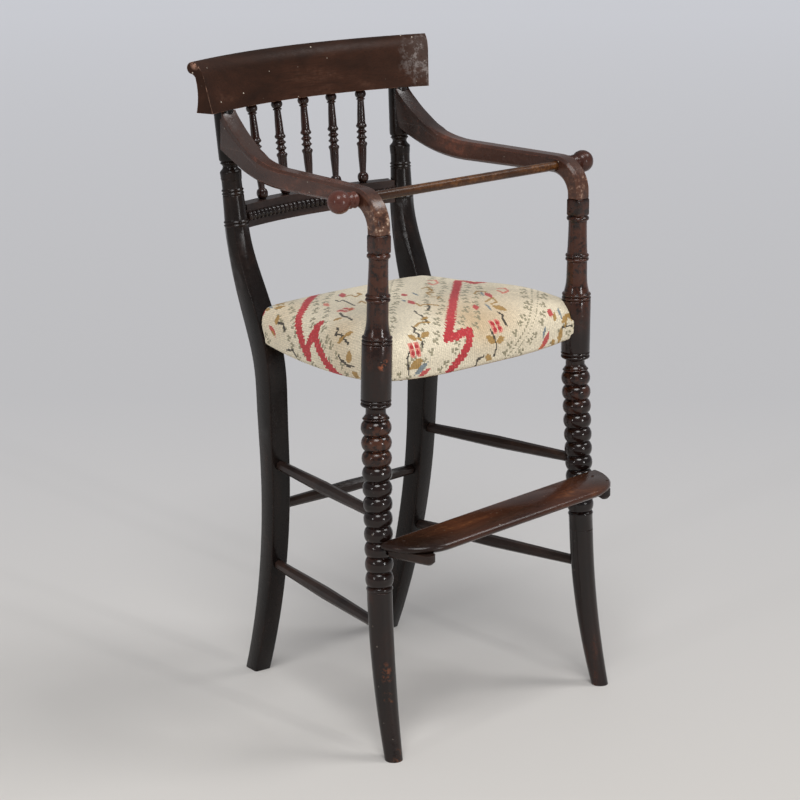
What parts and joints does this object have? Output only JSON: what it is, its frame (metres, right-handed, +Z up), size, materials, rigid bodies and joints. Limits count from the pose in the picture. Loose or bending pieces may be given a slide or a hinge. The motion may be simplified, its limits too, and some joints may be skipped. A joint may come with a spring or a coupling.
{
  "type": "child high chair",
  "caption": "Child's high chair with bobbin-turned front legs, swept rear posts, spindle back, scrolled arms, removable safety bar, footrest and stuff-over needlework seat",
  "frame": {"origin": "centre of the box's underside, on the floor", "axes": "+Z up, the chair faces -Y, +X is to the right as seen from the front"},
  "size_m": [0.4618, 0.4716, 0.87],
  "materials": {
    "dark_stained_wood": "dark brown stain under worn gloss varnish",
    "bar_wood": "reddish brown varnish, worn",
    "plain_wood": "unfinished, inside the joints and under the cover",
    "needlework": "wool stitches on canvas, matt",
    "stuffing": "packed hair, matt",
    "hessian": "coarse weave, matt",
    "webbing": "woven strip, matt"
  },
  "bodies": {
    "chair_frame": {"arm_dowels": "plain_wood", "arm_left": "dark_stained_wood", "arm_right": "dark_stained_wood", "back_spindle_1": "dark_stained_wood", "back_spindle_2": "dark_stained_wood", "back_spindle_3": "dark_stained_wood", "back_spindle_4": "dark_stained_wood", "back_spindle_5": "dark_stained_wood", "bead_moulding": "dark_stained_wood", "crest_rail": "dark_stained_wood", "cross_rail": "dark_stained_wood", "footrest_board": "dark_stained_wood", "footrest_bracket_left": "dark_stained_wood", "footrest_bracket_right": "dark_stained_wood", "front_leg_left": "dark_stained_wood", "front_leg_right": "dark_stained_wood", "rear_post_left": "dark_stained_wood", "rear_post_right": "dark_stained_wood", "rear_stretcher": "dark_stained_wood", "seat_base_cloth": "hessian", "seat_cover": "needlework", "seat_rail_front": "plain_wood", "seat_rail_left": "plain_wood", "seat_rail_rear": "plain_wood", "seat_rail_right": "plain_wood", "seat_stuffing": "stuffing", "seat_webbing": "webbing", "side_stretcher_lower_left": "dark_stained_wood", "side_stretcher_lower_right": "dark_stained_wood", "side_stretcher_upper_left": "dark_stained_wood", "side_stretcher_upper_right": "dark_stained_wood"},
    "safety_bar": {"safety_bar": "bar_wood"},
    "bar_end_knob": {"bar_end_knob": "bar_wood"}
  },
  "joints": [
    {"name": "bar_slide", "type": "slide", "parent": "chair_frame", "child": "safety_bar", "axis": [-1, 0, 0], "range_m": [0, 0.43]},
    {"name": "knob_pull", "type": "slide", "parent": "chair_frame", "child": "bar_end_knob", "axis": [1, 0, 0], "range_m": [0, 0.0645]}
  ],
  "couplings": [
    {"joint": "knob_pull", "follows": "bar_slide", "ratio": 0.15}
  ]
}
